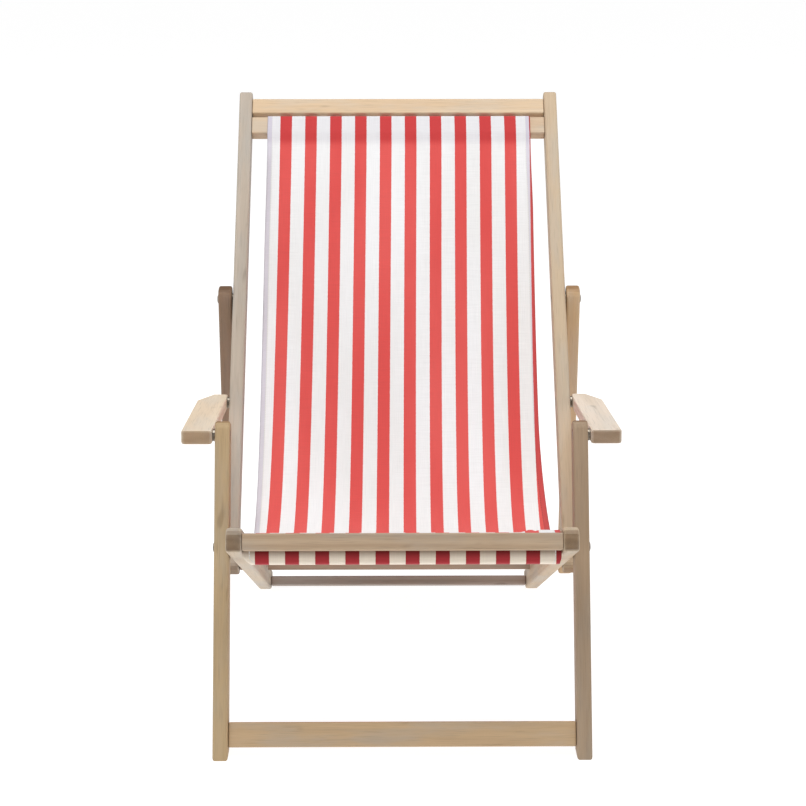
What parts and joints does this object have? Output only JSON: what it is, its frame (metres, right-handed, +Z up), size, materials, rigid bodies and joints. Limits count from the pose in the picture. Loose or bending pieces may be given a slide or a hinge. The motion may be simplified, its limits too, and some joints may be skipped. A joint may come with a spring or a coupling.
{
  "type": "folding deck chair",
  "caption": "Folding wooden deck chair with armrests, a hanging striped canvas sling and a prop frame that sets the recline in notches.",
  "frame": {"origin": "on the floor, under the middle of the opened chair's bounding box", "axes": "+Z up, the sitter faces -Y, +X is the sitter's left"},
  "size_m": [0.642, 0.9096, 0.8681],
  "materials": {
    "weathered_hardwood": "oiled hardwood, weathered, with a fine straight grain",
    "striped_canvas": "woven canvas with even red and white stripes along the sling",
    "zinc_plated_steel": "dull zinc plate"
  },
  "bodies": {
    "seat_frame": {"seat_rail_left": "weathered_hardwood", "seat_rail_right": "weathered_hardwood", "seat_front_rail": "weathered_hardwood", "seat_sling_slat": "weathered_hardwood", "seat_rear_slat": "weathered_hardwood", "sling_seat": "striped_canvas", "seat_front_rail_screw_left": "zinc_plated_steel", "seat_front_rail_screw_right": "zinc_plated_steel", "seat_sling_slat_screw_left": "zinc_plated_steel", "seat_sling_slat_screw_right": "zinc_plated_steel", "seat_rear_slat_screw_left": "zinc_plated_steel", "seat_rear_slat_screw_right": "zinc_plated_steel", "leg_pivot_nut_left": "zinc_plated_steel", "leg_pivot_nut_right": "zinc_plated_steel", "back_pivot_nut_left": "zinc_plated_steel", "back_pivot_nut_right": "zinc_plated_steel"},
    "front_legs": {"leg_left": "weathered_hardwood", "leg_right": "weathered_hardwood", "leg_crossbar": "weathered_hardwood", "leg_crossbar_screw_left": "zinc_plated_steel", "leg_crossbar_screw_right": "zinc_plated_steel", "leg_pivot_bolt_left": "zinc_plated_steel", "leg_pivot_bolt_right": "zinc_plated_steel", "leg_pivot_washer_left": "zinc_plated_steel", "leg_pivot_washer_right": "zinc_plated_steel", "arm_front_pin_left": "zinc_plated_steel", "arm_front_pin_right": "zinc_plated_steel", "arm_front_spacer_left": "zinc_plated_steel", "arm_front_spacer_right": "zinc_plated_steel"},
    "back_frame": {"back_rail_left": "weathered_hardwood", "back_rail_right": "weathered_hardwood", "back_top_rail": "weathered_hardwood", "back_sling_slat": "weathered_hardwood", "sling_back": "striped_canvas", "back_top_rail_screw_left": "zinc_plated_steel", "back_top_rail_screw_right": "zinc_plated_steel", "back_sling_slat_screw_left": "zinc_plated_steel", "back_sling_slat_screw_right": "zinc_plated_steel", "back_pivot_bolt_left": "zinc_plated_steel", "back_pivot_bolt_right": "zinc_plated_steel", "back_pivot_washer_left": "zinc_plated_steel", "back_pivot_washer_right": "zinc_plated_steel", "prop_pivot_nut_left": "zinc_plated_steel", "prop_pivot_nut_right": "zinc_plated_steel", "arm_rear_bolt_left": "zinc_plated_steel", "arm_rear_bolt_right": "zinc_plated_steel", "arm_rear_spacer_left": "zinc_plated_steel", "arm_rear_spacer_right": "zinc_plated_steel"},
    "prop_frame": {"prop_rail_left": "weathered_hardwood", "prop_rail_right": "weathered_hardwood", "prop_bar": "weathered_hardwood", "prop_bar_screw_left": "zinc_plated_steel", "prop_bar_screw_right": "zinc_plated_steel", "prop_pivot_bolt_left": "zinc_plated_steel", "prop_pivot_bolt_right": "zinc_plated_steel", "prop_pivot_washer_left": "zinc_plated_steel", "prop_pivot_washer_right": "zinc_plated_steel"},
    "armrest_left": {"armrest_left": "weathered_hardwood"},
    "armrest_right": {"armrest_right": "weathered_hardwood"}
  },
  "joints": [
    {"name": "back_fold", "type": "hinge", "parent": "seat_frame", "child": "back_frame", "pos_m": [0, -0.12693, 0.20455], "axis": [-1, 0, 0], "range_deg": [0, 62.5]},
    {"name": "leg_fold", "type": "hinge", "parent": "seat_frame", "child": "front_legs", "pos_m": [0, -0.32251, 0.281], "axis": [-1, 0, 0], "range_deg": [0, 81.25]},
    {"name": "armrest_left_turn", "type": "hinge", "parent": "back_frame", "child": "armrest_left", "pos_m": [0.298, 0.05188, 0.40952], "axis": [1, 0, 0], "range_deg": [0, 47.4]},
    {"name": "armrest_right_turn", "type": "hinge", "parent": "back_frame", "child": "armrest_right", "pos_m": [-0.298, 0.05188, 0.40952], "axis": [1, 0, 0], "range_deg": [0, 47.4]},
    {"name": "prop_swing", "type": "hinge", "parent": "back_frame", "child": "prop_frame", "pos_m": [0, 0.1781, 0.5542], "axis": [1, 0, 0], "range_deg": [0, 130.3]}
  ],
  "couplings": [
    {"joint": "leg_fold", "follows": "back_fold", "ratio": 1.2999},
    {"joint": "armrest_left_turn", "follows": "back_fold", "ratio": 0.7577},
    {"joint": "armrest_right_turn", "follows": "back_fold", "ratio": 0.7577},
    {"joint": "prop_swing", "follows": "back_fold", "ratio": 2.0835}
  ]
}
